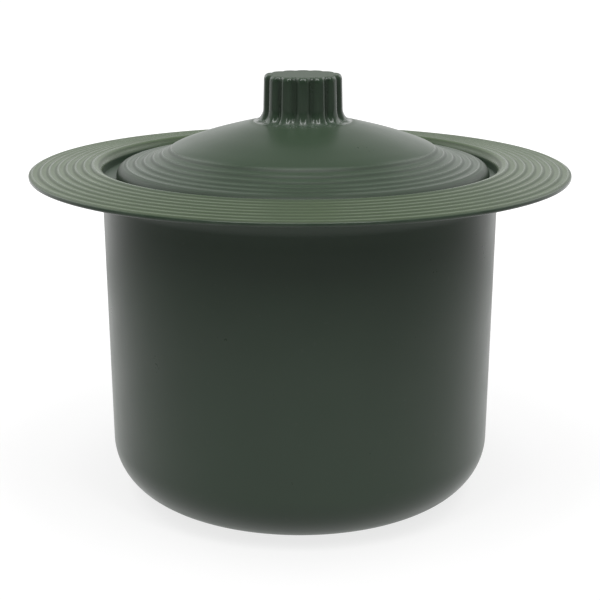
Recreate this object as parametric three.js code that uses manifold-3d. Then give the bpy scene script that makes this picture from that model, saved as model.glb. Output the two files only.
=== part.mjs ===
// A desk inkwell: a round pot with a wide ribbed brim, a porcelain liner for the ink,
// and a domed lid that seats loosely in the brim's bore and lifts off by a fluted knob.
// Millimetres, +Z up. The origin is the centre of the base pad's underside.
import * as THREE from "three";
import { mergeVertices } from "three/addons/utils/BufferGeometryUtils.js";
import Module from "manifold-3d";

// ---- Driving dimensions ----------------------------------------------------

// Pot
const potRadius = 36.75; // outside, at the joint under the brim
const potTaper = 0.55; // how much narrower the wall is where the base round starts
const potWall = 2.65;
const potFloor = 3.2;
const potBaseRound = 10.3;

// Base pad, let into the underside
const padInset = 1.4; // from the edge of the pot's flat base
const padThickness = 1.2;
const padProud = 0.5;

// Brim collar
const brimRadius = 50;
const brimHeight = 62.5; // of the brim's outer edge above the table
const brimEdge = 0.7; // thickness at the outer edge
const brimEdgeRound = 0.35;
const brimBorder = 0.65; // from the edge to the first rib's crest
const brimBorderRise = 0.3;
const brimRise = 1.36; // from the outer edge up to the lip's crest
const brimRibs = 7;
const ribDepth = 0.17; // of the hollow between two crests
const lipRound = 1.8;
const coveRadius = 4.6; // under the brim, down to the pot's wall
const skirtDepth = 8; // from the brim's edge down to the joint with the pot
const boreInset = 0.2; // the bore is this much smaller than the pot's outside
const lidLedgeDepth = 1.3;
const lidLedgeWidth = 3.15;
const linerLedgeDepth = 6;
const linerLedgeWidth = 2.5;
const spigotLength = 3.5; // the collar's spigot, down inside the pot's mouth

// Liner and the ring it sits on
const seatRingThickness = 0.8;
const seatRingWidth = 1.9;
const linerRimThickness = 2.2;
const linerRimWidth = 4.2; // flat top of the rim
const linerWall = 2.8;
const linerBaseGap = 1.8; // between the hanging liner and the pot's floor
const wellRadius = 16;
const wellTaper = 0.8;
const wellRound = 5;
const dishDrop = 6.5; // from the rim to the well's mouth

// Lid and its seal ring
const lidGap = 1.85; // all round, between the lid's edge and the bore
const lidRestOffset = 0.55; // the loose lid rests this far to +X
const lidStandOff = 0.2; // between the lid's edge and its ledge, with the ring carrying it
const lidBorder = 2;
const lidBorderHeight = 1.03; // of the outermost rib above the brim's edge
const lidRise = 7.59; // from the outermost rib up to the knob's seat
const lidRibs = 5;
const lidRibBand = 8.2;
const lidWall = 2.4;
const lidSpigotDepth = 1.5;
const lidSpigotGap = 1;
const lidSpigotWidth = 3.9;
const sealWidth = 1.7;
const sealThickness = 1.6;
const sealInset = 1.1; // from the lid spigot's outside to the ring's outside

// Knob and what holds it
const knobRadius = 7.45;
const knobDraft = 0.15; // how much narrower the knob is at its top
const knobHeight = 8.6; // above its seat on the lid
const knobFlare = 1.75;
const knobTopRound = 0.5;
const flutes = 14;
const fluteDepth = 0.6;
const screwRadius = 1.5;
const screwHeadRadius = 2.75;
const screwHeadHeight = 1.8;
const screwGrip = 4.9; // length of thread in the insert
const slotWidth = 0.8;
const slotDepth = 0.9;
const washerRadius = 4;
const washerThickness = 0.8;
const insertRadius = 2.8;
const insertWaist = 0.4; // depth of the groove round the insert
const insertLength = 5.5;
const insertSlack = 0.5; // space above the insert in the knob
const bossRadius = 6;
const bossThickness = 3.2;

// Clearances
const fit = 0.3; // radial, between pieces assembled by hand
const linerFit = 0.4; // radial, round the liner's rim

// Roundness
const segments = 48;
const hardwareSegments = 24;
const samplesPerFlute = 6;

// ---- Helpers ---------------------------------------------------------------

const point = (r, z) => new THREE.Vector2(r, z);

// Points along a round of the outline, from one angle to another in degrees.
function arc(r, z, radius, from, to, steps) {
  return Array.from({ length: steps + 1 }, (_, i) => {
    const angle = THREE.MathUtils.degToRad(from + ((to - from) * i) / steps);
    return point(r + radius * Math.cos(angle), z + radius * Math.sin(angle));
  });
}

// A turned solid. The outline runs anticlockwise, up its outside and down its inside.
function turned(outline, around = segments) {
  return new THREE.LatheGeometry(outline, around).rotateX(Math.PI / 2);
}

const closed = (outline) => [...outline, outline[0].clone()];

const flatRing = (inner, outer, bottom, top) =>
  closed([
    point(inner, bottom),
    point(outer, bottom),
    point(outer, top),
    point(inner, top),
  ]);

// Ribs from one crest to the next, with a shallow hollow halfway between two crests.
function ribs(from, to, count, heightAt) {
  return Array.from({ length: 2 * count + 1 }, (_, i) => {
    const r = from + ((to - from) * i) / (2 * count);
    return point(r, heightAt(r) - (i % 2 ? ribDepth : 0));
  });
}

const wasm = await Module();
wasm.setup();

function toSolid(geometry) {
  const bare = geometry.clone();
  bare.deleteAttribute("normal");
  bare.deleteAttribute("uv");
  const merged = mergeVertices(bare, 1e-3);
  return new wasm.Manifold(
    new wasm.Mesh({
      numProp: 3,
      vertProperties: merged.attributes.position.array,
      triVerts: new Uint32Array(merged.index.array),
    }),
  );
}

function toGeometry(solid) {
  const { vertProperties, triVerts } = solid.getMesh();
  const geometry = new THREE.BufferGeometry();
  geometry.setAttribute(
    "position",
    new THREE.BufferAttribute(vertProperties, 3),
  );
  geometry.setIndex(new THREE.BufferAttribute(triVerts, 1));
  geometry.computeVertexNormals();
  return geometry;
}

// ---- Sizes that several pieces share ---------------------------------------

const potBase = padProud;
const jointZ = brimHeight - skirtDepth;
const potMouth = potRadius - potWall;
const potBaseRadius = potRadius - potTaper;
const padRadius = potBaseRadius - potBaseRound - padInset;
const boreRadius = potRadius - boreInset;
const lidLedgeZ = brimHeight - lidLedgeDepth;
const lidLedgeInner = boreRadius - lidLedgeWidth;
const linerLedgeZ = brimHeight - linerLedgeDepth;
const linerLedgeInner = lidLedgeInner - linerLedgeWidth;
const rimRadius = lidLedgeInner - linerFit;
const rimUnderside = linerLedgeZ + seatRingThickness;
const rimTop = rimUnderside + linerRimThickness;
const lidRadius = boreRadius - lidGap;
const lidEdgeZ = lidLedgeZ + lidStandOff;
const lidSpigotRadius = lidLedgeInner - lidSpigotGap;
const lidSpigotZ = lidEdgeZ - lidSpigotDepth;
const sealOuter = lidSpigotRadius - sealInset;
const sealInner = sealOuter - sealWidth;
const sealTop = rimTop + sealThickness;
const knobFoot = knobRadius + knobFlare;
const seatZ = brimHeight + lidBorderHeight + lidRise;
const screwHole = screwRadius + fit;
const insertHole = insertRadius + fit;
const washerTop = seatZ - bossThickness;
const washerZ = washerTop - washerThickness;

// ---- Materials -------------------------------------------------------------

const finish = (color, roughness, metalness = 0) =>
  new THREE.MeshStandardMaterial({ color, roughness, metalness });

const greenPlastic = finish(0x343f36, 0.38);
const porcelain = finish(0xe6e2d6, 0.15);
const darkRubber = finish(0x1b1b1b, 0.8);
const greenFelt = finish(0x20301f, 0.95);
const brass = finish(0xb08d3f, 0.3, 1);

// ---- Pieces ----------------------------------------------------------------

function potOutline() {
  const recess = padRadius + fit;
  const recessZ = padThickness;
  const insideRound = potBaseRound - potWall;
  const floorZ = potBase + potFloor;
  return [
    point(0, recessZ),
    point(recess, recessZ),
    point(recess, potBase),
    ...arc(
      potBaseRadius - potBaseRound,
      potBase + potBaseRound,
      potBaseRound,
      -90,
      0,
      6,
    ),
    point(potRadius, jointZ),
    point(potMouth, jointZ),
    ...arc(
      potBaseRadius - potWall - insideRound,
      floorZ + insideRound,
      insideRound,
      0,
      -90,
      5,
    ),
    point(0, floorZ),
  ];
}

function collarOutline() {
  const underside = brimHeight - brimEdge;
  const crest = boreRadius + lipRound;
  const firstRib = brimRadius - brimBorder;
  const slope = (r) =>
    brimHeight +
    THREE.MathUtils.mapLinear(r, firstRib, crest, brimBorderRise, brimRise);
  const spigotOuter = potMouth - fit;
  const spigotZ = jointZ - spigotLength;
  return closed([
    point(potRadius, jointZ),
    ...arc(
      potRadius + coveRadius,
      underside - coveRadius,
      coveRadius,
      180,
      90,
      4,
    ),
    point(brimRadius - brimEdgeRound, underside),
    point(brimRadius, underside + brimEdgeRound),
    point(brimRadius, brimHeight),
    ...ribs(firstRib, crest, brimRibs, slope),
    ...arc(crest, brimHeight + brimRise - lipRound, lipRound, 120, 180, 2),
    point(boreRadius, lidLedgeZ),
    point(lidLedgeInner, lidLedgeZ),
    point(lidLedgeInner, linerLedgeZ),
    point(linerLedgeInner, linerLedgeZ),
    point(linerLedgeInner, spigotZ),
    point(spigotOuter, spigotZ),
    point(spigotOuter, jointZ),
  ]);
}

function linerOutline() {
  const mouthZ = rimTop - dishDrop;
  const dishRadius = rimRadius - linerRimWidth;
  const floorTop = potBase + potFloor + linerBaseGap + linerWall;
  const underside = floorTop - linerWall;
  const wellFoot = wellRadius - wellTaper;
  const throatRadius = linerLedgeInner - linerFit;
  return [
    point(0, underside),
    ...arc(
      wellFoot - wellRound,
      underside + wellRound + linerWall,
      wellRound + linerWall,
      -90,
      0,
      4,
    ),
    point(wellRadius + linerWall, mouthZ - linerWall),
    point(throatRadius, rimUnderside),
    point(rimRadius, rimUnderside),
    point(rimRadius, rimTop),
    point(dishRadius, rimTop),
    point(wellRadius + linerWall / 2, mouthZ),
    point(wellRadius, mouthZ - linerWall / 2),
    ...arc(wellFoot - wellRound, floorTop + wellRound, wellRound, 0, -90, 3),
    point(0, floorTop),
  ];
}

// The lid's crown, as height above the outermost rib at each radius. It falls gently
// from the knob's seat, then steeply, and flattens out again towards the rim.
const crownShape = new THREE.SplineCurve([
  point(0, 1),
  point(0.17, 0.87),
  point(0.35, 0.72),
  point(0.5, 0.57),
  point(0.62, 0.43),
  point(0.73, 0.25),
  point(0.86, 0.09),
  point(1, 0),
]);

function crown(r) {
  const span = lidRadius - lidBorder - knobFoot;
  const target = THREE.MathUtils.clamp((r - knobFoot) / span, 0, 1);
  let low = 0;
  let high = 1;
  while (high - low > 1e-6) {
    const middle = (low + high) / 2;
    if (crownShape.getPoint(middle).x < target) low = middle;
    else high = middle;
  }
  return brimHeight + lidBorderHeight + lidRise * crownShape.getPoint(low).y;
}

function lidOutline() {
  const outerRib = lidRadius - lidBorder;
  const innerRib = outerRib - lidRibBand;
  const spigotInner = lidSpigotRadius - lidSpigotWidth;
  const grooveOuter = sealOuter + fit;
  const grooveInner = sealInner - fit;
  const crownZ = brimHeight + lidBorderHeight;
  const edgeRound = Math.min(lidBorder, 0.95 * (crownZ - lidEdgeZ));
  const steps = 4;
  const along = (from, to, drop) =>
    Array.from({ length: steps }, (_, i) => {
      const r = from + ((to - from) * i) / steps;
      return point(r, crown(r) - drop);
    });
  return closed([
    point(screwHole, washerTop),
    point(bossRadius, washerTop),
    point(bossRadius + lidWall / 2, seatZ - lidWall),
    ...along(knobFoot, spigotInner, lidWall),
    point(spigotInner, crown(spigotInner) - lidWall),
    point(spigotInner, lidSpigotZ),
    point(grooveInner, lidSpigotZ),
    point(grooveInner, sealTop),
    point(grooveOuter, sealTop),
    point(grooveOuter, lidSpigotZ),
    point(lidSpigotRadius, lidSpigotZ),
    point(lidSpigotRadius, lidEdgeZ),
    point(lidRadius, lidEdgeZ),
    ...arc(lidRadius - edgeRound, crownZ - edgeRound, edgeRound, 0, 60, 2),
    ...ribs(outerRib, innerRib, lidRibs, crown),
    ...along(innerRib, knobFoot, 0).slice(1),
    point(knobFoot, seatZ),
    point(screwHole, seatZ),
  ]);
}

function knobOutline() {
  const topZ = seatZ + knobHeight;
  const topRadius = knobRadius - knobDraft;
  const holeTop = seatZ + insertLength + insertSlack;
  return [
    point(0, holeTop),
    point(insertHole, holeTop),
    point(insertHole, seatZ),
    ...arc(
      knobFoot,
      seatZ + knobFlare,
      knobFlare,
      -90,
      -180,
      4,
    ),
    point(topRadius, topZ - knobTopRound),
    point(topRadius - knobTopRound, topZ),
    point(0, topZ),
  ];
}

// Cuts the flutes into the knob's side. They fade out down the flare.
function flute(geometry) {
  const position = geometry.getAttribute("position");
  const inside = insertHole + fluteDepth;
  for (let i = 0; i < position.count; i++) {
    const x = position.getX(i);
    const y = position.getY(i);
    const r = Math.hypot(x, y);
    if (r < inside) continue;
    const wave = (1 + Math.cos(flutes * Math.atan2(y, x))) / 2;
    const fade = THREE.MathUtils.smoothstep(
      position.getZ(i),
      seatZ,
      seatZ + knobFlare,
    );
    const share = 1 - (fluteDepth * wave ** 2 * fade) / r;
    position.setXY(i, x * share, y * share);
  }
  return geometry;
}

function insertOutline() {
  const waist = insertRadius - insertWaist;
  const third = insertLength / 3;
  return closed([
    point(screwHole, seatZ),
    point(insertRadius, seatZ),
    point(insertRadius, seatZ + third),
    point(waist, seatZ + third),
    point(waist, seatZ + 2 * third),
    point(insertRadius, seatZ + 2 * third),
    point(insertRadius, seatZ + insertLength),
    point(screwHole, seatZ + insertLength),
  ]);
}

function screwGeometry() {
  const headZ = washerZ - screwHeadHeight;
  const blank = turned(
    [
      point(0, headZ),
      point(screwHeadRadius, headZ),
      point(screwHeadRadius, washerZ),
      point(screwRadius, washerZ),
      point(screwRadius, seatZ + screwGrip),
      point(0, seatZ + screwGrip),
    ],
    hardwareSegments,
  );
  const cutter = new THREE.BoxGeometry(
    3 * screwHeadRadius,
    slotWidth,
    2 * slotDepth,
  ).translate(0, 0, headZ);
  return toGeometry(toSolid(blank).subtract(toSolid(cutter)));
}

// ---- Assembly --------------------------------------------------------------

const inkwell = new THREE.Group();
inkwell.name = "inkwell";

function add(name, geometry, material, group = inkwell) {
  const mesh = new THREE.Mesh(geometry, material);
  mesh.name = name;
  group.add(mesh);
}

const seatRingOuter = (lidLedgeInner + linerLedgeInner + seatRingWidth) / 2;

add("pot", turned(potOutline()), greenPlastic);
add("base_pad", turned([
  point(0, 0),
  point(padRadius, 0),
  point(padRadius, padThickness),
  point(0, padThickness),
]), greenFelt);
add("brim_collar", turned(collarOutline()), greenPlastic);
add("liner_seat_ring", turned(flatRing(
  seatRingOuter - seatRingWidth,
  seatRingOuter,
  linerLedgeZ,
  rimUnderside,
)), darkRubber);
add("ink_liner", turned(linerOutline()), porcelain);

const lidAssembly = new THREE.Group();
lidAssembly.name = "lid_assembly";
lidAssembly.position.x = lidRestOffset;
inkwell.add(lidAssembly);

add("lid_seal_ring", turned(flatRing(
  sealInner,
  sealOuter,
  rimTop,
  sealTop,
)), darkRubber, lidAssembly);
add("lid", turned(lidOutline()), greenPlastic, lidAssembly);
add(
  "knob",
  flute(turned(knobOutline(), flutes * samplesPerFlute)),
  greenPlastic,
  lidAssembly,
);
add(
  "knob_insert",
  turned(insertOutline(), hardwareSegments),
  brass,
  lidAssembly,
);
add("knob_washer", turned(flatRing(
  screwHole,
  washerRadius,
  washerZ,
  washerTop,
), hardwareSegments), brass, lidAssembly);
add("knob_screw", screwGeometry(), brass, lidAssembly);

export default inkwell;
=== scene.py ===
# %% [markdown]
# # A desk inkwell
#
# The inkwell is a round plastic pot with a wide ribbed brim. A porcelain liner
# hangs in the pot and holds the ink, and a domed lid with a fluted knob closes it.
# Nearly every piece is turned: it has the same outline all the way round. So the
# lesson is mostly about drawing a good outline, spinning it, and then giving the
# surface the small marks that moulding and handling leave on it.
#
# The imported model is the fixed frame. It says where every piece sits and how it
# moves, and the fine pieces made here stand for its coarser ones.

# %% Load the frame
import math

import bmesh
import bpy
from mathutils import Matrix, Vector, noise


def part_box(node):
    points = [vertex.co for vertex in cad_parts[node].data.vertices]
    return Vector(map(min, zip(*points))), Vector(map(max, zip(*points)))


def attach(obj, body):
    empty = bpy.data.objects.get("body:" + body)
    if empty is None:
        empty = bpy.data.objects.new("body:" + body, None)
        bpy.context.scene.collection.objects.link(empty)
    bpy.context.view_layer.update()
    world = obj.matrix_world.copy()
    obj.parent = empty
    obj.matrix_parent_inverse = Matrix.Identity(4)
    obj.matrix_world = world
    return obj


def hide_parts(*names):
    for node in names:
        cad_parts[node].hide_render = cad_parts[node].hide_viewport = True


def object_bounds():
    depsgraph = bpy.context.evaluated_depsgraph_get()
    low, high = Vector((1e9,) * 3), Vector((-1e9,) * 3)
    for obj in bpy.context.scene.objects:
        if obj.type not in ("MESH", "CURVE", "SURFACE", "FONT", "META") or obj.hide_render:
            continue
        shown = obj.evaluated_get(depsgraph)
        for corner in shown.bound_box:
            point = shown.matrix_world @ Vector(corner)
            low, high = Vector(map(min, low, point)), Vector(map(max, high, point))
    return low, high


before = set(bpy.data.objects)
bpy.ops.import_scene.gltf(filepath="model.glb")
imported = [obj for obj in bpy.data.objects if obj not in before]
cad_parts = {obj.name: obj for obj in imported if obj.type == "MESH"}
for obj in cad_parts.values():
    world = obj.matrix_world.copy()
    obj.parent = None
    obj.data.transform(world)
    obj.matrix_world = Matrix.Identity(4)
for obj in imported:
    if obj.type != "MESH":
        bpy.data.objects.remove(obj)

MM = 0.001
cad_low, cad_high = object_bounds()
brim_radius = (cad_high.x - cad_low.x) / 2
print("size in mm:", [round(side / MM, 2) for side in cad_high - cad_low])

# %% [markdown]
# ## Camera
#
# The inkwell is seen from a little above the brim, so that the brim is a thin
# ellipse and the lid's crown shows. The camera stands close, about five brim
# radii away, which makes the near edge of the brim dip more than the far one.
# Everything is set from the size of the object, so it keeps its place in view.

# %% Camera
LOOKING_DOWN = math.radians(15.59)
DISTANCE_IN_BRIMS = 5.246
AIM_HEIGHT_SHARE = 0.458
LENS = 81.76
camera_data = bpy.data.cameras.new("camera")
camera = bpy.data.objects.new("camera", camera_data)
bpy.context.scene.collection.objects.link(camera)
bpy.context.scene.camera = camera

aim = Vector((0, 0, AIM_HEIGHT_SHARE * cad_high.z))
back = Vector((0, -math.cos(LOOKING_DOWN), math.sin(LOOKING_DOWN)))
camera.location = aim + DISTANCE_IN_BRIMS * brim_radius * back
camera.rotation_euler = (math.pi / 2 - LOOKING_DOWN, 0, 0)
camera_data.sensor_width = 36
camera_data.lens = LENS
camera_data.clip_start = 0.01
print("camera at", [round(place, 4) for place in camera.location])

# %% [markdown]
# ## Shader sums in plain Python
#
# A material is a network of nodes, and a sum such as "one minus the mask" is a
# node too. Wiring each one by hand hides the idea, so one small class stands for
# a wire coming out of a node: adding or multiplying wires adds the Math node
# that does it. Every other node comes from its method `node`, which takes the
# node's type, its settings, and the numbers or wires that go into its sockets.

# %% Wires
class Wire:
    """What comes out of one socket, with the sums that a material needs."""

    def __init__(self, tree, socket=None):
        self.tree, self.socket = tree, socket

    def node(self, kind, settings, inputs, out=0):
        made = self.tree.nodes.new("ShaderNode" + kind)
        for name, value in settings.items():
            setattr(made, name, value)
        for name, value in inputs.items():
            if isinstance(value, Wire):
                self.tree.links.new(value.socket, made.inputs[name])
            else:
                made.inputs[name].default_value = value
        return Wire(self.tree, made.outputs[out] if made.outputs else None)

    def math(self, operation, *values):
        return self.node("Math", {"operation": operation}, dict(enumerate(values)))

    def __add__(self, other):
        return self.math("ADD", self, other)

    def __sub__(self, other):
        return self.math("SUBTRACT", self, other)

    def __rsub__(self, other):
        return self.math("SUBTRACT", other, self)

    def __mul__(self, other):
        return self.math("MULTIPLY", self, other)

    def __truediv__(self, other):
        return self.math("DIVIDE", self, other)

    def __abs__(self):
        return self.math("ABSOLUTE", self)

    __radd__, __rmul__ = __add__, __mul__

    def larger(self, other):
        return self.math("MAXIMUM", self, other)

    def rise(self, low, high):
        """0 below low, 1 above high, and a smooth step between them."""
        return self.node(
            "MapRange",
            {"interpolation_type": "SMOOTHSTEP"},
            {"Value": self, "From Min": low, "From Max": high},
        )

    def near(self, middle, reach):
        """1 at the middle, fading out to 0 at reach on both sides of it."""
        return 1 - abs(self - middle).rise(0, reach)

    def blend(self, first, second):
        """The first colour where this mask is 0, and the second where it is 1."""
        first, second = (
            c if isinstance(c, Wire) else (*c, 1) for c in (first, second)
        )
        inputs = {0: self, 6: first, 7: second}
        return self.node("Mix", {"data_type": "RGBA"}, inputs, 2)


def new_material(name, build, **constants):
    """A Principled material with plain constants, and what build says varies."""
    material = bpy.data.materials.new(name)
    material.use_nodes = True
    tree = material.node_tree
    tree.nodes.clear()
    sockets = {key.replace("_", " "): value for key, value in constants.items()}
    shader = Wire(tree).node("BsdfPrincipled", {}, sockets | build(Surface(tree)))
    shader.node("OutputMaterial", {}, {"Surface": shader})
    print("material", name, "has", len(tree.nodes), "nodes")
    return material


# %% [markdown]
# ## Where a mark falls on the surface
#
# Marks follow the object: rings run round the axis, dust lies in hollows, and
# edges are where a piece gets rubbed. So a material needs to know how far a point
# is from the axis and how high it is, both in millimetres. The lid rests a little
# to one side of the pot's axis, so its own axis can be given too.

# %% Surface places and patterns
class Surface(Wire):
    """The start of a material: places on the piece in millimetres, and noise."""

    def at(self, axis_x=0.0):
        """Radius from the axis and height, as wires."""
        mm = self.millimetres(axis_x)
        x, y, z = (self.node("SeparateXYZ", {}, {0: mm}, out) for out in range(3))
        return self.math("SQRT", x * x + y * y), z

    def millimetres(self, axis_x=0.0):
        place = self.node("TexCoord", {}, {}, "Object")
        return self.node(
            "Mapping",
            {},
            {
                "Vector": place,
                "Location": (-axis_x / MM, 0, 0),
                "Scale": (1 / MM, 1 / MM, 1 / MM),
            },
        )

    def noise(self, size, detail=3.0, stretch=(1, 1, 1), **more):
        """Noise from 0 to 1, whose blobs are about size millimetres across."""
        place = self.node(
            "VectorMath", {"operation": "MULTIPLY"}, {0: self.millimetres(), 1: stretch}
        )
        inputs = {"Vector": place, "Scale": 1 / size, "Detail": detail}
        return self.node("TexNoise", {}, inputs | more)

    def bump(self, height_mm):
        """A normal from a height in millimetres."""
        inputs = {"Height": height_mm, "Distance": MM, "Strength": 1.0}
        return self.node("Bump", {}, inputs)


print("surface helpers ready")

# %% [markdown]
# ## Outlines and turning
#
# A potter's or turner's drawing gives one half of the section: a line of corners,
# some of them rounded. The line is a wire in a bmesh. A vertex bevel rounds a
# corner exactly as a radius on a drawing does, whether the corner sticks out or
# goes in, so only the corners have to be written down. Spinning the wire once
# round the axis makes the skin. The last column of faces is merged with the
# first, and the points on the axis are merged to one, which closes the poles.

# %% Outline and turning helpers
ROUND_STEPS = 192


def outline(corners, axis_x=0.0, loop=False):
    """A wire through corners of (radius, height, round), in millimetres."""
    bm = bmesh.new()
    vertices = [
        bm.verts.new(((axis_x / MM + corner[0]) * MM, 0, corner[1] * MM))
        for corner in corners
    ]
    for first, second in zip(vertices, vertices[1:] + vertices[:1] * loop):
        bm.edges.new((first, second))
    for vertex, (_, _, *radius) in zip(vertices, corners):
        if radius:
            bmesh.ops.bevel(
                bm,
                geom=[vertex],
                offset=radius[0] * MM,
                offset_type="OFFSET",
                segments=max(2, min(24, round(6 * radius[0] ** 0.5))),
                profile=0.5,
                affect="VERTICES",
                material=-1,
            )
    return bm


def turn(bm, axis_x=0.0, steps=ROUND_STEPS):
    """Spins the wire once round the axis and closes what meets."""
    bmesh.ops.spin(
        bm,
        geom=bm.verts[:] + bm.edges[:],
        cent=(axis_x, 0, 0),
        axis=(0, 0, 1),
        dvec=(0, 0, 0),
        angle=2 * math.pi,
        steps=steps,
        use_merge=True,
        use_duplicate=False,
    )
    bmesh.ops.remove_doubles(bm, verts=bm.verts, dist=0.002 * MM)
    bmesh.ops.recalc_face_normals(bm, faces=bm.faces)
    return bm


def new_piece(bm, name, body, node, material, sharp=32):
    """Makes the bmesh a piece that rides on a body and stands for a CAD node."""
    open_edges = sum(not edge.is_manifold for edge in bm.edges)
    mesh = bpy.data.meshes.new(name)
    bm.to_mesh(mesh)
    bm.free()
    mesh.shade_smooth()
    mesh.set_sharp_from_angle(angle=math.radians(sharp))
    mesh.materials.append(material)
    piece = bpy.data.objects.new(name, mesh)
    bpy.context.scene.collection.objects.link(piece)
    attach(piece, body)
    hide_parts(node)
    print(name, "faces:", len(mesh.polygons), "open edges:", open_edges)
    return piece


def measured(node):
    """Axis place, radius, bottom and top of a turned CAD node, in millimetres."""
    low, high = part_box(node)
    centre = (low.x + high.x) / 2
    return centre, (high.x - low.x) / 2 / MM, low.z / MM, high.z / MM


for node in sorted(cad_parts):
    print(node, [round(value, 3) for value in measured(node)])

# %% [markdown]
# ## The green plastic
#
# The pot, brim, lid and knob are moulded in one dark green plastic with a satin
# skin. Satin plastic isn't even: the colour drifts a little where the melt
# flowed, the skin has a fine grain from the mould, and hands leave it smoother
# here and duller there. Edges and rib crests are slightly paler and more polished,
# partly as wear from rubbing and partly as a painted highlight. Hollows keep a
# trace of dust. A darker green is painted shade in a thin ring next to each rib,
# in the knob's flutes and on the lid's rounded border. The top faces, most of all
# the brim's, carry a paler yellow-green that is partly fading and partly painted
# light on the upward faces.
#
# One function makes the plastic for each piece, so the colour matches across a
# joint. What differs is only where that piece has each of these four marks.

# %% Green plastic
GREEN = (0.044, 0.074, 0.046)
GREEN_DEEP = (0.039, 0.067, 0.041)
# Partly wear and partly a painted highlight on crests and edges.
GREEN_WORN_AND_HIGHLIT = (0.085, 0.120, 0.085)
# Partly fading and partly painted light on the upward faces.
GREEN_FADED_AND_LIT = (0.160, 0.225, 0.095)
DUST = (0.16, 0.17, 0.14)
# Painted shade: a darker green laid where shade falls, in a ring next to the ribs, in the
# knob's flutes and on the lid's border.
PAINTED_SHADE_GREEN = (0.020, 0.032, 0.020)


def green_plastic(name, marks, base_roughness=0.3, mirror=0.35):
    """marks(surface) gives four masks: wear with painted highlight, dust, fade with
    painted light on the top faces, and painted shade.
    """

    def build(surface):
        wear_and_highlight, dusty, fade_and_top_light, painted_shade = marks(surface)
        drift = surface.noise(24, detail=2.0)
        patches = surface.noise(7, detail=4.0)
        grain = surface.noise(0.5, detail=3.0)
        speck = surface.noise(0.9, detail=1.0).rise(0.70, 0.78)
        colour = drift.rise(0.3, 0.7).blend(GREEN_DEEP, GREEN)
        # A paler yellow-green on the top faces: partly fading, partly painted light.
        colour = (fade_and_top_light * (0.32 + drift * 0.14)).blend(colour, GREEN_FADED_AND_LIT)
        # Paler crests and edges: partly wear, partly a painted highlight.
        colour = (wear_and_highlight * patches.rise(0.25, 0.6) * 0.55).blend(colour, GREEN_WORN_AND_HIGHLIT)
        colour = (dusty * 0.10 * grain + speck * 0.05).blend(colour, DUST)
        # Painted shade: the last mask darkens the colour where shade falls.
        colour = painted_shade.blend(colour, PAINTED_SHADE_GREEN)
        roughness = base_roughness + (patches - 0.5) * 0.10 + (grain - 0.5) * 0.04
        roughness = roughness - wear_and_highlight * 0.07 + dusty * 0.10 + painted_shade * 0.15
        height = grain * 0.0015 + patches * 0.004
        return {
            "Base Color": colour,
            "Roughness": roughness,
            "Normal": surface.bump(height),
        }

    return new_material(name, build, IOR=1.5, Specular_IOR_Level=mirror)


# %% [markdown]
# ## The pot
#
# The pot is a deep cup with a wall that widens slightly towards the top, so that
# it lets go of its mould. Its foot has a large round, and underneath there is a
# shallow recess for the felt. It could be cut from a cylinder, but the section
# is one continuous line, so it is drawn and turned. The rim is plain, because
# the brim's skirt continues the wall with no step.

# %% Pot
_, pot_radius, pot_base, joint_height = measured("pot")
WALL = 2.65
BASE_MARGIN = 0.55
FLOOR_THICKNESS = 3.2
PAD_SLACK = 0.3
FOOT_ROUND = 10.3
foot_radius = pot_radius - BASE_MARGIN
pot_floor = pot_base + FLOOR_THICKNESS
pad_height = measured("base_pad")[3]
pad_recess = measured("base_pad")[1] + PAD_SLACK


def pot_marks(surface):
    radius, height = surface.at()
    scuffed = radius.near(26.5, 4) * (1 - height.rise(1, 2.5))
    inside = 1 - radius.rise(pot_radius - WALL - 0.6, pot_radius - WALL + 0.4)
    dusty = inside * (1 - height.rise(4, 9)) * 0.6
    return scuffed, dusty, inside * 0, inside * 0


pot_wire = outline(
    [
        (0, pad_height),
        (pad_recess, pad_height, 0.2),
        (pad_recess, pot_base, 0.25),
        (foot_radius, pot_base, FOOT_ROUND),
        (pot_radius, joint_height),
        (pot_radius - WALL, joint_height, 0.2),
        (foot_radius - WALL, pot_floor, FOOT_ROUND - WALL),
        (0, pot_floor),
    ]
)
new_piece(
    turn(pot_wire),
    "pot_shell",
    "pot_body",
    "pot",
    green_plastic("green plastic of the pot", pot_marks),
)

# %% [markdown]
# ## Ribs
#
# The brim and the lid carry concentric ribs. Each is a crest between two shallow
# hollows, as a round-nosed tool leaves when it is fed in by equal steps. So the
# outline goes from crest to crest in straight lines, each line is subdivided,
# and its new points are lowered along half a sine wave. The crests are rounded
# by a tenth of a millimetre, which is what catches the light as a thin line.

# %% Ribs helper
RIB_DEPTH = 0.19
RIB_STEPS = 9
CREST_ROUND = 0.13


def hollow(bm, axis_x, crest, next_crest, depth=RIB_DEPTH, steps=RIB_STEPS):
    """Subdivides the line between two crests and lowers its new points."""
    start, end = (
        Vector(((axis_x / MM + r) * MM, 0, z * MM)) for r, z in (crest, next_crest)
    )
    edge = min(
        bm.edges,
        key=lambda e: min(
            (e.verts[0].co - start).length + (e.verts[1].co - end).length,
            (e.verts[1].co - start).length + (e.verts[0].co - end).length,
        ),
    )
    made = bmesh.ops.subdivide_edges(bm, edges=[edge], cuts=steps - 1)
    for vertex in made["geom_inner"]:
        if not isinstance(vertex, bmesh.types.BMVert):
            continue
        share = (vertex.co.x - start.x) / (end.x - start.x)
        vertex.co.z -= depth * MM * math.sin(math.pi * share)


def round_crests(bm, axis_x, crests):
    """Rounds the outline's points at these crests."""
    for r, z in crests:
        crest = Vector(((axis_x / MM + r) * MM, 0, z * MM))
        point = min(bm.verts, key=lambda vertex: (vertex.co - crest).length)
        bmesh.ops.bevel(
            bm, geom=[point], offset=CREST_ROUND * MM, offset_type="OFFSET",
            segments=3, profile=0.5, affect="VERTICES", material=-1,
        )


print("rib depth in mm:", RIB_DEPTH)

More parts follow.
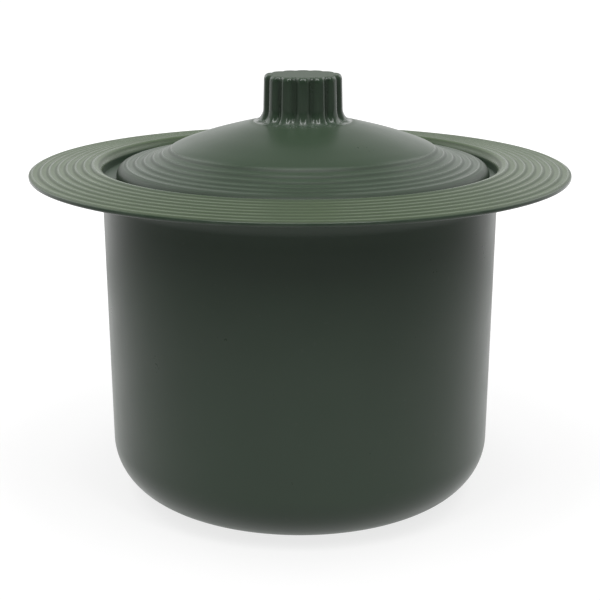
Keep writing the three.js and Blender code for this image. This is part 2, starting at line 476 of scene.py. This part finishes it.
# %% [markdown]
# ## The brim
#
# The brim is a collar of its own: a skirt that continues the pot's wall, a cove
# that sweeps out under the flange, the thin flange with seven ribs, and a rolled
# lip round the bore. Inside are two ledges, one for the lid and one lower for
# the liner, and a spigot that plugs into the pot's mouth. It is one closed
# section, so the outline is a loop.

# %% Brim
_, _, spigot_bottom, brim_top = measured("brim_collar")
BRIM_EDGE_HEIGHT = 62.5
BRIM_RIBS = 7
brim_r = brim_radius / MM
first_crest = brim_r - 0.65
bore_radius = pot_radius - 0.2
lip_crest = bore_radius + 1.8
underside = BRIM_EDGE_HEIGHT - 0.7
lid_ledge = BRIM_EDGE_HEIGHT - 1.3
lid_ledge_inner = bore_radius - 3.15
liner_ledge = BRIM_EDGE_HEIGHT - 6
liner_ledge_inner = lid_ledge_inner - 2.5
spigot_outer = pot_radius - WALL - 0.3
rib_pitch = (first_crest - lip_crest) / BRIM_RIBS


def brim_height(radius):
    share = (first_crest - radius) / (first_crest - lip_crest)
    return BRIM_EDGE_HEIGHT + 0.3 + (brim_top - BRIM_EDGE_HEIGHT - 0.3) * share


def crest_lines(radius, first, pitch, reach):
    """A mask that is 1 on every rib's crest."""
    share = radius.math("FRACT", (radius - first) / pitch)
    return abs(share - 0.5).rise(0.5 - reach / pitch, 0.5)


def brim_marks(surface):
    radius, height = surface.at()
    on_top = height.rise(underside + 0.6, BRIM_EDGE_HEIGHT + 0.2)
    crests = crest_lines(radius, first_crest, rib_pitch, 0.22) * on_top
    edge = radius.rise(brim_r - 0.25, brim_r - 0.02)
    lip = radius.near(lip_crest, 0.5) * on_top
    hollows = (1 - crests) * on_top * radius.rise(lip_crest, lip_crest + 0.5)
    ledge = (1 - radius.rise(bore_radius - 0.3, bore_radius + 0.3)) * 0.8
    # Painted shade: a thin ring just outside each crest is darkened.
    shade_next_to_crests = crest_lines(radius - 0.42, first_crest, rib_pitch, 0.4) * on_top
    # The first mask is partly wear, partly a painted highlight on the crests, the edge and
    # the lip.
    # The third mask, the top faces, is partly fading and partly painted light.
    return crests.larger(edge).larger(lip), hollows * 0.4 + ledge, on_top, shade_next_to_crests * 0.5


crests = [
    (first_crest - rib_pitch * i, brim_height(first_crest - rib_pitch * i))
    for i in range(BRIM_RIBS + 1)
]
brim_wire = outline(
    [
        (pot_radius, joint_height),
        (pot_radius, underside, 4.6),
        (brim_r, underside, 0.35),
        (brim_r, BRIM_EDGE_HEIGHT, 0.12),
        *crests,
        (bore_radius, brim_top, 1.79),
        (bore_radius, lid_ledge, 0.15),
        (lid_ledge_inner, lid_ledge, 0.25),
        (lid_ledge_inner, liner_ledge, 0.2),
        (liner_ledge_inner, liner_ledge, 0.25),
        (liner_ledge_inner, spigot_bottom, 0.4),
        (spigot_outer, spigot_bottom, 0.4),
        (spigot_outer, joint_height),
    ],
    loop=True,
)
for crest, next_crest in zip(crests, crests[1:]):
    hollow(brim_wire, 0, crest, next_crest)
round_crests(brim_wire, 0, crests[:-1])
new_piece(
    turn(brim_wire),
    "brim_ring",
    "pot_body",
    "brim_collar",
    green_plastic("green plastic of the brim", brim_marks),
)

# %% [markdown]
# ## The lid
#
# The lid's crown is an S-shaped line. It falls gently from the knob, then
# steeply, and flattens out into a band of five ribs and a rounded border. A
# curve through a few heights gives that line, and both the top and the underside
# follow it, so the wall keeps its thickness. Under the edge a spigot drops into
# the bore, with a groove for the rubber ring, and under the middle a boss takes
# the screw that holds the knob.

# %% Lid
lid_axis, lid_radius, lid_spigot_bottom, knob_seat = measured("lid")
_, knob_foot, _, knob_top = measured("knob")
LID_RIBS = 5
LID_WALL = 2.4
LID_BORDER = 2.0
SPIGOT_INNER, SPIGOT_OUTER = 28.5, 32.4
GROOVE_INNER, GROOVE_OUTER = 29.3, 31.6
GROOVE_TOP = 61.1
SCREW_HOLE = 1.8
BOSS_DEPTH = 3.2
lid_edge = lid_ledge + 0.2
outer_rib = lid_radius - LID_BORDER
inner_rib = outer_rib - 8.2
crown_low = BRIM_EDGE_HEIGHT + 1.03
lid_pitch = (outer_rib - inner_rib) / LID_RIBS
CROWN = [
    Vector(share)
    for share in (
        (0, 1), (0.17, 0.87), (0.35, 0.72), (0.5, 0.57),
        (0.62, 0.43), (0.73, 0.25), (0.86, 0.09), (1, 0),
    )
]


def crown_point(along):
    """A point of the smooth curve through CROWN, with along from 0 to 1."""
    place = along * (len(CROWN) - 1)
    i = min(int(place), len(CROWN) - 2)
    t = place - i
    before, a, b, after = (
        CROWN[min(max(k, 0), len(CROWN) - 1)] for k in range(i - 1, i + 3)
    )
    slope_a, slope_b = (b - before) / 2, (after - a) / 2
    return (
        (2 * t**3 - 3 * t**2 + 1) * a
        + (t**3 - 2 * t**2 + t) * slope_a
        + (3 * t**2 - 2 * t**3) * b
        + (t**3 - t**2) * slope_b
    )


def crown(radius):
    """Height of the lid's top at a radius."""
    target = min(max((radius - knob_foot) / (outer_rib - knob_foot), 0), 1)
    low, high = 0.0, 1.0
    for _ in range(30):
        middle = (low + high) / 2
        low, high = (middle, high) if crown_point(middle).x < target else (low, middle)
    return crown_low + (knob_seat - crown_low) * crown_point(low).y


def along_crown(start, end, steps, drop=0.0):
    """Corners along the crown, from one radius to another."""
    radii = [start + (end - start) * i / steps for i in range(steps + 1)]
    return [(radius, crown(radius) - drop) for radius in radii]


def lid_marks(surface):
    radius, height = surface.at(lid_axis)
    on_top = height.rise(lid_edge + 0.8, crown_low)
    band = radius.rise(inner_rib - 0.4, inner_rib)
    crests = crest_lines(radius, outer_rib, lid_pitch, 0.22) * band * on_top
    foot = (1 - radius.rise(knob_foot, knob_foot + 1.2)) * 0.8
    dusty = foot + (1 - on_top) * 0.5 + band * 0.3
    # Painted shade: a thin ring just outside each crest, and the rounded border, are
    # darkened.
    shade_next_to_crests = crest_lines(radius - 0.42, outer_rib, lid_pitch, 0.4) * band * on_top
    border = radius.rise(outer_rib + 0.3, outer_rib + 1.3) * 0.65
    painted_shade = (shade_next_to_crests * 0.5).larger(border)
    # The crests are paler, partly wear and partly a painted highlight.
    # The top faces get a little of the fade with painted light.
    return crests, dusty, on_top * 0.12, painted_shade


lid_crests = along_crown(outer_rib, inner_rib, LID_RIBS)
lid_wire = outline(
    [
        (SCREW_HOLE, knob_seat - BOSS_DEPTH, 0.2),
        (6, knob_seat - BOSS_DEPTH, 0.3),
        (7.2, knob_seat - LID_WALL, 0.6),
        *along_crown(knob_foot, SPIGOT_INNER, 16, LID_WALL),
        (SPIGOT_INNER, lid_spigot_bottom, 0.3),
        (GROOVE_INNER, lid_spigot_bottom, 0.15),
        (GROOVE_INNER, GROOVE_TOP, 0.15),
        (GROOVE_OUTER, GROOVE_TOP, 0.15),
        (GROOVE_OUTER, lid_spigot_bottom, 0.15),
        (SPIGOT_OUTER, lid_spigot_bottom, 0.3),
        (SPIGOT_OUTER, lid_edge, 0.2),
        (lid_radius, lid_edge, 0.1),
        (lid_radius, crown_low, LID_BORDER - 0.01),
        *lid_crests,
        *along_crown(inner_rib, knob_foot, 26)[1:],
        (SCREW_HOLE, knob_seat, 0.15),
    ],
    lid_axis,
    loop=True,
)
for crest, next_crest in zip(lid_crests, lid_crests[1:]):
    hollow(lid_wire, lid_axis, crest, next_crest)
round_crests(lid_wire, lid_axis, lid_crests[1:-1])
new_piece(
    turn(lid_wire, lid_axis),
    "lid_shell",
    "lid_body",
    "lid",
    green_plastic("green plastic of the lid", lid_marks),
)

# %% [markdown]
# ## The knob
#
# The knob is a short column with fourteen flutes, standing on a small flare. It
# is turned first as a plain column, with enough rows and columns of faces, and
# then each flute is pressed in: a point moves towards the axis by an amount that
# depends only on its angle, and that fades away at the flare's very foot. This is
# how a gear-like shape is kept smooth, where a boolean cut would leave ragged
# edges. The flare is drawn as a plain quarter round and then stretched upwards.

# %% Knob
FLUTES = 14
FLUTE_DEPTH = 0.68
KNOB_RADIUS = 7.45
KNOB_FLARE = 1.75
KNOB_TAPER, KNOB_ROWS = 0.014, 10
KNOB_TOP_EDGE = 5.6
BUSH_HOLE = 3.1
BUSH_HOLE_DEPTH = 6.0
FLARE_HEIGHT = 2.6
knob_wire = outline(
    [
        (0, knob_seat + BUSH_HOLE_DEPTH),
        (BUSH_HOLE, knob_seat + BUSH_HOLE_DEPTH, 0.3),
        (BUSH_HOLE, knob_seat, 0.15),
        (knob_foot, knob_seat),
        (KNOB_RADIUS, knob_seat, KNOB_FLARE - 0.01),
        *(
            (KNOB_RADIUS - KNOB_TAPER * row, knob_seat + 2.9 + 0.5 * row)
            for row in range(KNOB_ROWS)
        ),
        (KNOB_RADIUS - 0.15, knob_top, 0.8),
        (KNOB_TOP_EDGE, knob_top),
        (0, knob_top),
    ],
    lid_axis,
)
knob_mesh = turn(knob_wire, lid_axis, FLUTES * 20)
for vertex in knob_mesh.verts:
    across = Vector((vertex.co.x - lid_axis, vertex.co.y))
    radius = across.length / MM
    height = vertex.co.z / MM - knob_seat
    if radius > 6.1:
        wave = (1 + math.cos(FLUTES * math.atan2(across.y, across.x))) / 2
        lift = min(max(height / (0.15 * KNOB_FLARE), 0), 1)
        fade = lift * lift * (3 - 2 * lift)
        across *= 1 - FLUTE_DEPTH * wave**2 * fade / radius
        vertex.co.x, vertex.co.y = lid_axis + across.x, across.y
        if height <= KNOB_FLARE:
            vertex.co.z += height * (FLARE_HEIGHT / KNOB_FLARE - 1) * MM


def knob_marks(surface):
    radius, height = surface.at(lid_axis)
    outside = radius.rise(KNOB_RADIUS - 0.4, KNOB_RADIUS - 0.05)
    top_edge = height.rise(knob_top - 0.6, knob_top - 0.1) * radius.rise(5.6, 6.6)
    grooves = 1 - radius.rise(KNOB_RADIUS - 0.7, KNOB_RADIUS - 0.3)
    low = 1 - height.rise(knob_seat + 0.05, knob_seat + 0.6)
    above = 1 - height.rise(knob_top - 0.3, knob_top - 0.1)
    scuffed = height.rise(knob_top - 0.15, knob_top - 0.02) * 4
    dusty = (grooves * above).larger(low) * 0.2 + scuffed
    # The first mask paints the flute crowns and the top edge paler, partly wear and partly
    # a painted highlight.
    # The last mask is painted shade in the flutes.
    return outside.larger(top_edge) * 0.5, dusty, low * 0, grooves * above * 0.5


new_piece(
    knob_mesh,
    "knob_cap",
    "lid_body",
    "knob",
    green_plastic("green plastic of the knob", knob_marks, 0.19, 0.5),
)

# %% [markdown]
# ## The porcelain liner
#
# The ink stands in a glazed porcelain cup, because glaze doesn't take up ink and
# wipes clean. It hangs by a flat rim, dishes down to the well so that drips run
# back, and ends in a rounded floor that a nib can't catch on. Slip-cast porcelain
# has no sharp edges, so every corner gets a generous round.

# %% Porcelain
GLAZE = (0.79, 0.76, 0.68)
GLAZE_POOLED = (0.66, 0.66, 0.58)
BARE_BODY = (0.70, 0.66, 0.57)
INK_TINT = (0.10, 0.12, 0.22)


def porcelain_build(surface):
    radius, height = surface.at()
    cloud = surface.noise(14, detail=3.0)
    ripple = surface.noise(3.5, detail=2.0)
    iron = surface.noise(0.8, detail=1.0).rise(0.755, 0.80)
    in_well = 1 - radius.rise(15.9, 16.6)
    floor = in_well * (1 - height.rise(9, 16)) * height.rise(7.8, 8.1)
    tide = in_well * (height + (cloud - 0.5) * 3).near(19, 1.2)
    stained = (floor * 0.5 + tide * 0.35) * ripple.rise(0.2, 0.7)
    bare = 1 - height.rise(liner_low + 0.4, liner_low + 1.2)
    colour = cloud.rise(0.3, 0.7).blend(GLAZE_POOLED, GLAZE)
    colour = (stained * 0.7).blend(colour, INK_TINT)
    colour = (iron * 0.5).blend(colour, (0.30, 0.19, 0.10))
    colour = bare.blend(colour, BARE_BODY)
    return {
        "Base Color": colour,
        "Roughness": 0.09 + ripple * 0.06 + stained * 0.15 + bare * 0.55,
        "Coat Weight": 0.6 * (1 - bare),
        "Normal": surface.bump(ripple * 0.03 + iron * 0.02),
    }


_, liner_rim, liner_low, liner_high = measured("ink_liner")
porcelain = new_material(
    "glazed porcelain", porcelain_build, IOR=1.55, Coat_Roughness=0.05
)
rim_underside = liner_high - 2.2
liner_wire = outline(
    [
        (0, liner_low),
        (18.0, liner_low, 7.8),
        (18.8, 50.2, 2.0),
        (liner_ledge_inner - 0.4, rim_underside, 0.4),
        (liner_rim, rim_underside, 0.6),
        (liner_rim, liner_high, 0.8),
        (28.8, liner_high, 1.6),
        (16.1, 52.2, 1.6),
        (15.2, 8.3, 5.0),
        (0, 8.3),
    ]
)
new_piece(
    turn(liner_wire),
    "porcelain_liner",
    "liner_body",
    "ink_liner",
    porcelain,
)

# %% [markdown]
# ## The rubber rings
#
# A flat ring under the liner's rim takes up the difference between porcelain and
# plastic, and a thicker one under the lid keeps the air off the ink. Rubber
# rings are moulded in two halves, so they have a fine parting line half way up,
# and the surface is dull with a bloom of wax that comes out of the rubber.

# %% Rubber rings
RUBBER = (0.012, 0.012, 0.012)
RUBBER_BLOOM = (0.05, 0.05, 0.052)


def rubber(name, axis_x, middle):
    def build(surface):
        _, height = surface.at(axis_x)
        bloom = surface.noise(5, detail=4.0).rise(0.45, 0.8)
        grain = surface.noise(0.35, detail=2.0)
        line = height.near(middle, 0.07)
        colour = (bloom * 0.35 + line * 0.2).blend(RUBBER, RUBBER_BLOOM)
        return {
            "Base Color": colour,
            "Roughness": 0.62 + bloom * 0.2 + (grain - 0.5) * 0.1,
            "Normal": surface.bump(grain * 0.012 + line * 0.03),
        }

    return new_material(name, build)


def ring(name, body, node):
    """A rounded ring the size of its CAD node, with a fine line half way up."""
    axis_x, outer, bottom, top = measured(node)
    inner = {"liner_seat_ring": 31.2, "lid_seal_ring": 29.6}[node]
    middle = (bottom + top) / 2
    soft = 0.3 * (top - bottom)
    wire = outline(
        [
            (inner, bottom, soft),
            (outer - 0.03, bottom, soft),
            (outer - 0.03, middle - 0.04),
            (outer, middle),
            (outer - 0.03, middle + 0.04),
            (outer - 0.03, top, soft),
            (inner, top, soft),
        ],
        axis_x,
        loop=True,
    )
    material = rubber("dark rubber of " + name, axis_x, middle)
    return new_piece(turn(wire, axis_x), name, body, node, material)


ring("liner_gasket", "pot_body", "liner_seat_ring")
ring("lid_gasket", "seal_body", "lid_seal_ring")

# %% [markdown]
# ## The felt
#
# A felt disc is let into the pot's underside, so that the inkwell doesn't scratch
# a desk. Felt is pressed fibre: it has no weave, its face is a little uneven, and
# the cut edge is soft. The disc starts as a circle of faces that is extruded to
# its thickness, and a seeded noise then gives both faces a slight unevenness.
# The fibres themselves are far too fine to model, so the material draws them as
# noise that is drawn out in several directions.

# %% Felt
def felt_build(surface):
    long_one = surface.noise(0.5, 4.0, (0.22, 1.6, 1), Distortion=1.2)
    long_two = surface.noise(0.5, 4.0, (1.6, 0.22, 1), Distortion=1.2)
    clumps = surface.noise(3.5, 3.0)
    fibres = long_one.larger(long_two)
    colour = fibres.rise(0.45, 0.75).blend((0.009, 0.019, 0.009), (0.026, 0.050, 0.026))
    colour = (clumps.rise(0.5, 0.75) * 0.3).blend(colour, (0.045, 0.066, 0.042))
    return {
        "Base Color": colour,
        "Roughness": 0.88 + (clumps - 0.5) * 0.15,
        "Normal": surface.bump(fibres * 0.12 + clumps * 0.08),
    }


_, pad_radius, pad_low, pad_high = measured("base_pad")
pad_mesh = bmesh.new()
bmesh.ops.create_circle(pad_mesh, cap_ends=True, segments=128, radius=pad_radius * MM)
bmesh.ops.translate(pad_mesh, verts=pad_mesh.verts, vec=(0, 0, pad_low * MM))
for _ in range(14):
    middle_face = max(pad_mesh.faces, key=lambda face: len(face.verts))
    bmesh.ops.inset_region(
        pad_mesh, faces=[middle_face], thickness=1.65 * MM, use_even_offset=True
    )
lifted = bmesh.ops.extrude_face_region(pad_mesh, geom=pad_mesh.faces[:])
lifted_vertices = [v for v in lifted["geom"] if isinstance(v, bmesh.types.BMVert)]
bmesh.ops.translate(
    pad_mesh, verts=lifted_vertices, vec=(0, 0, (pad_high - pad_low) * MM)
)
cut_edges = [
    edge
    for edge in pad_mesh.edges
    if all(v.co.xy.length > (pad_radius - 0.01) * MM for v in edge.verts)
    and abs(edge.verts[0].co.z - edge.verts[1].co.z) < 0.1 * MM
]
bmesh.ops.bevel(
    pad_mesh, geom=cut_edges, offset=0.3 * MM, segments=3, profile=0.5,
    affect="EDGES", material=-1,
)
for vertex in pad_mesh.verts:
    bump = 0.035 * (1 + noise.noise(vertex.co * 260)) * MM
    vertex.co.z += bump if vertex.co.z < pad_high * MM / 2 else -bump
bmesh.ops.recalc_face_normals(pad_mesh, faces=pad_mesh.faces)
felt = new_material("green felt", felt_build, Sheen_Weight=0.35, Sheen_Roughness=0.5)
pad = new_piece(pad_mesh, "felt_pad", "pot_body", "base_pad", felt)

# %% [markdown]
# ## The brass fittings
#
# A brass bush is pressed into the knob, and a slotted screw comes up through a
# washer and the lid into it, so that the knob can't work loose as a moulded
# thread would. All three are turned. Turning leaves fine rings round the axis,
# handling leaves scratches, and old brass goes dull and brown where nothing rubs
# it. The bush is knurled so that it grips the plastic, and the screw has a real
# thread: each row of its points is a little further round than the last.

# %% Brass
def brass_build(surface):
    radius, height = surface.at(lid_axis)
    rings = (radius * 42).math("SINE", radius * 42)
    rows = (height * 42).math("SINE", height * 42)
    tarnish = surface.noise(2.2, 4.0).rise(0.4, 0.75)
    scratch = surface.noise(0.4, 3.0, (0.15, 2.5, 1)).rise(0.62, 0.72)
    colour = (tarnish * 0.6).blend((0.55, 0.38, 0.13), (0.24, 0.15, 0.06))
    colour = (scratch * 0.3).blend(colour, (0.75, 0.58, 0.28))
    return {
        "Base Color": colour,
        "Roughness": 0.26 + tarnish * 0.22 - scratch * 0.08,
        "Normal": surface.bump((rings + rows) * 0.0015 - scratch * 0.004),
    }


brass = new_material("turned brass", brass_build, Metallic=1.0)

_, bush_radius, bush_low, bush_high = measured("knob_insert")
third = (bush_high - bush_low) / 3
bush_wire = outline(
    [
        (SCREW_HOLE, bush_low, 0.15),
        (bush_radius, bush_low, 0.25),
        (bush_radius, bush_low + third, 0.15),
        (bush_radius - 0.4, bush_low + third),
        (bush_radius - 0.4, bush_low + 2 * third),
        (bush_radius, bush_low + 2 * third, 0.15),
        (bush_radius, bush_high, 0.25),
        (SCREW_HOLE, bush_high, 0.15),
    ],
    lid_axis,
    loop=True,
)
KNURLS = 32
bush_mesh = turn(bush_wire, lid_axis, KNURLS * 4)
for vertex in bush_mesh.verts:
    across = Vector((vertex.co.x - lid_axis, vertex.co.y))
    if across.length > (bush_radius - 0.05) * MM:
        ridge = (1 + math.cos(KNURLS * math.atan2(across.y, across.x))) / 2
        across *= 1 - 0.05 * (1 - ridge)
        vertex.co.x, vertex.co.y = lid_axis + across.x, across.y
new_piece(bush_mesh, "knob_bush", "lid_body", "knob_insert", brass)

_, washer_radius, washer_low, washer_high = measured("knob_washer")
washer_wire = outline(
    [
        (SCREW_HOLE, washer_low, 0.12),
        (washer_radius, washer_low, 0.2),
        (washer_radius, washer_high, 0.12),
        (SCREW_HOLE, washer_high, 0.12),
    ],
    lid_axis,
    loop=True,
)
new_piece(
    turn(washer_wire, lid_axis, 96),
    "clamp_washer", "lid_body", "knob_washer", brass,
)

SHANK = 1.5
PITCH = 0.5
_, head_radius, head_low, shank_top = measured("knob_screw")
thread_rows = int((shank_top - washer_low - 0.6) / (PITCH / 6))
screw_wire = outline(
    [
        (0, head_low),
        (head_radius, head_low, 0.3),
        (head_radius, washer_low, 0.1),
        (SHANK, washer_low),
        *((SHANK, washer_low + 0.3 + row * PITCH / 6) for row in range(thread_rows)),
        (SHANK, shank_top - 0.25),
        (SHANK - 0.25, shank_top),
        (0, shank_top),
    ],
    lid_axis,
)
screw_mesh = turn(screw_wire, lid_axis, 48)
for vertex in screw_mesh.verts:
    across = Vector((vertex.co.x - lid_axis, vertex.co.y))
    height = vertex.co.z / MM - washer_low
    if height > 0.5 and across.length > (SHANK - 0.1) * MM:
        turns = height / PITCH - math.atan2(across.y, across.x) / (2 * math.pi)
        valley = 1 - abs(2 * (turns % 1) - 1)
        across *= 1 - 0.16 * valley * min(1, (height - 0.5) / PITCH)
        vertex.co.x, vertex.co.y = lid_axis + across.x, across.y

slot_cutter = bmesh.new()
bmesh.ops.create_cube(slot_cutter, size=1)
bmesh.ops.scale(
    slot_cutter, vec=(3 * head_radius * MM, 0.8 * MM, 1.8 * MM), verts=slot_cutter.verts
)
bmesh.ops.translate(
    slot_cutter, vec=(lid_axis, 0, head_low * MM), verts=slot_cutter.verts
)


def cut(bm, tool):
    """What is left of the first solid when the second is taken away from it."""
    objects = []
    for name, solid in (("solid", bm), ("tool", tool)):
        mesh = bpy.data.meshes.new(name)
        solid.to_mesh(mesh)
        solid.free()
        objects.append(bpy.data.objects.new(name, mesh))
        bpy.context.scene.collection.objects.link(objects[-1])
    modifier = objects[0].modifiers.new("cut", "BOOLEAN")
    modifier.operation, modifier.solver = "DIFFERENCE", "EXACT"
    modifier.object = objects[1]
    depsgraph = bpy.context.evaluated_depsgraph_get()
    result = bmesh.new()
    result.from_mesh(objects[0].evaluated_get(depsgraph).to_mesh())
    for left_over in objects:
        bpy.data.objects.remove(left_over)
    return result


new_piece(
    cut(screw_mesh, slot_cutter),
    "clamp_screw", "lid_body", "knob_screw", brass,
)

# %% [markdown]
# ## The table
#
# The inkwell stands on a plain white table. The camera, mirrors and glass see the
# table as white, by an emission, and a diffuse part is added to it so that the
# shadow under the pot still shows. For light that bounces on to the object the
# table is only pale grey, and darker further off, so it doesn't wash out a dark
# pot. A real table top would do the same if it were lit only near the object.
# For mirrors the white sheet lies under the object and runs to the back, and the
# bare table in front is dim, which leaves the upper wall dark under its brim.

# %% Table
TABLE_RADIUS = 3.0
LIT_RADIUS = 0.06
DIM_RADIUS = 0.27
table_mesh = bmesh.new()
bmesh.ops.create_circle(table_mesh, cap_ends=True, segments=96, radius=TABLE_RADIUS)
table_data = bpy.data.meshes.new("table")
table_mesh.to_mesh(table_data)
table_mesh.free()
table = bpy.data.objects.new("table", table_data)
bpy.context.scene.collection.objects.link(table)


def rays(start, *kinds):
    """1 for these kinds of ray, such as Camera, and 0 for all others."""
    path = start.node("LightPath", {}, {}).socket.node
    masks = [Wire(start.tree, path.outputs[f"Is {kind} Ray"]) for kind in kinds]
    for mask in masks[1:]:
        masks[0] = masks[0].larger(mask)
    return masks[0]


def grey(level):
    return (level, level, level, 1)


table_material = bpy.data.materials.new("white table")
table_material.use_nodes = True
table_material.node_tree.nodes.clear()
table_data.materials.append(table_material)
start = Surface(table_material.node_tree)
radius, _ = start.at()
forward = start.node("SeparateXYZ", {}, {0: start.millimetres()}, "Y")
lit = 1 - radius.rise(LIT_RADIUS / MM, DIM_RADIUS / MM)
bounce = lit.blend(grey(0.1)[:3], grey(0.4)[:3])
for_light = start.node("BsdfDiffuse", {}, {"Color": bounce})
shadow_part = start.node("BsdfDiffuse", {}, {"Color": grey(0.30)})
sheet = (1 - radius.rise(110, 260)).larger(forward.rise(0, 250)) * 0.85 + 0.15
sheet = rays(start, "Camera").larger(sheet)
white_part = start.node("Emission", {}, {"Strength": (1 - lit * 0.22) * sheet})
as_background = start.node("AddShader", {}, {0: shadow_part, 1: white_part})
shows_background = rays(start, "Camera", "Glossy", "Transmission")
shaders = {0: shows_background, 1: for_light, 2: as_background}
seen = start.node("MixShader", {}, shaders)
start.node("OutputMaterial", {}, {"Surface": seen})
print("table radius in m:", TABLE_RADIUS)

# %% [markdown]
# ## Lamps and room
#
# Satin plastic is lit mostly by what it mirrors. The backdrop is white behind the
# object and at its sides, up to the height of a lamp stand, and the room is dim
# above it and where the camera stands. That is what makes a dark pot look round,
# with bright flanks and a deep middle. Large soft panels stand at both sides and
# overhead. A pair of tall narrow strips, high up in front, puts a glint on each
# side of every rib of the knob.

# %% Lamps and room
PANEL_DISTANCE = 0.7
PANELS = {
    # name: turn from straight behind, height angle, width, length, brightness
    "panel left": (-52, 36, 0.40, 0.40, 1.2),
    "panel right": (52, 36, 0.40, 0.40, 1.2),
    "panel overhead": (180, 80, 0.60, 0.60, 1.35),
    "strip high left": (-146, 58, 0.11, 0.60, 7.2),
    "strip high right": (146, 58, 0.11, 0.60, 7.2),
}
object_middle = Vector((0, 0, cad_high.z * 0.7))


def panel(name, turn_deg, height_deg, width, length, brightness):
    """A soft lamp that faces the object. Its brightness of 1 looks white."""
    turned, raised = math.radians(turn_deg), math.radians(height_deg)
    towards = Vector(
        (
            math.sin(turned) * math.cos(raised),
            math.cos(turned) * math.cos(raised),
            math.sin(raised),
        )
    )
    data = bpy.data.lights.new(name, "AREA")
    data.shape, data.size, data.size_y = "RECTANGLE", width, length
    data.energy = brightness * math.pi * width * length
    lamp = bpy.data.objects.new(name, data)
    lamp.location = object_middle + PANEL_DISTANCE * towards
    lamp.rotation_euler = towards.to_track_quat("Z", "Y").to_euler()
    lamp.visible_camera = False
    bpy.context.scene.collection.objects.link(lamp)
    print(name, "power in W:", round(data.energy, 3))


for name, placing in PANELS.items():
    panel(name, *placing)

world = bpy.data.worlds.new("dim room")
bpy.context.scene.world = world
world.use_nodes = True
world.node_tree.nodes.clear()
room = Wire(world.node_tree)
direction = room.node("TexCoord", {}, {}, "Generated")
backward = room.node("SeparateXYZ", {}, {0: direction}, "Y")
fill = backward.rise(-0.7, 0.9).blend((0.05, 0.05, 0.05), (0.35, 0.35, 0.35))
upward = room.node("SeparateXYZ", {}, {0: direction}, "Z")
backdrop = backward.rise(-0.8, 0.5) * (1 - upward.rise(0.1, 0.8) * 0.7)
mirrored = backdrop.blend((0.06, 0.06, 0.06), (1, 1, 1))
colour = rays(room, "Glossy", "Transmission").blend(fill, mirrored)
colour = rays(room, "Camera").blend(colour, (1, 1, 1))
background = room.node("Background", {}, {"Color": colour})
room.node("OutputWorld", {}, {"Surface": background})

bpy.context.scene.view_settings.view_transform = "Standard"

# %% [markdown]
# ## The frame's size
#
# The fine model has to be the same size as the frame, so the frame's box is
# printed.

# %% Size and finish
print("frame box", cad_low[:], cad_high[:])
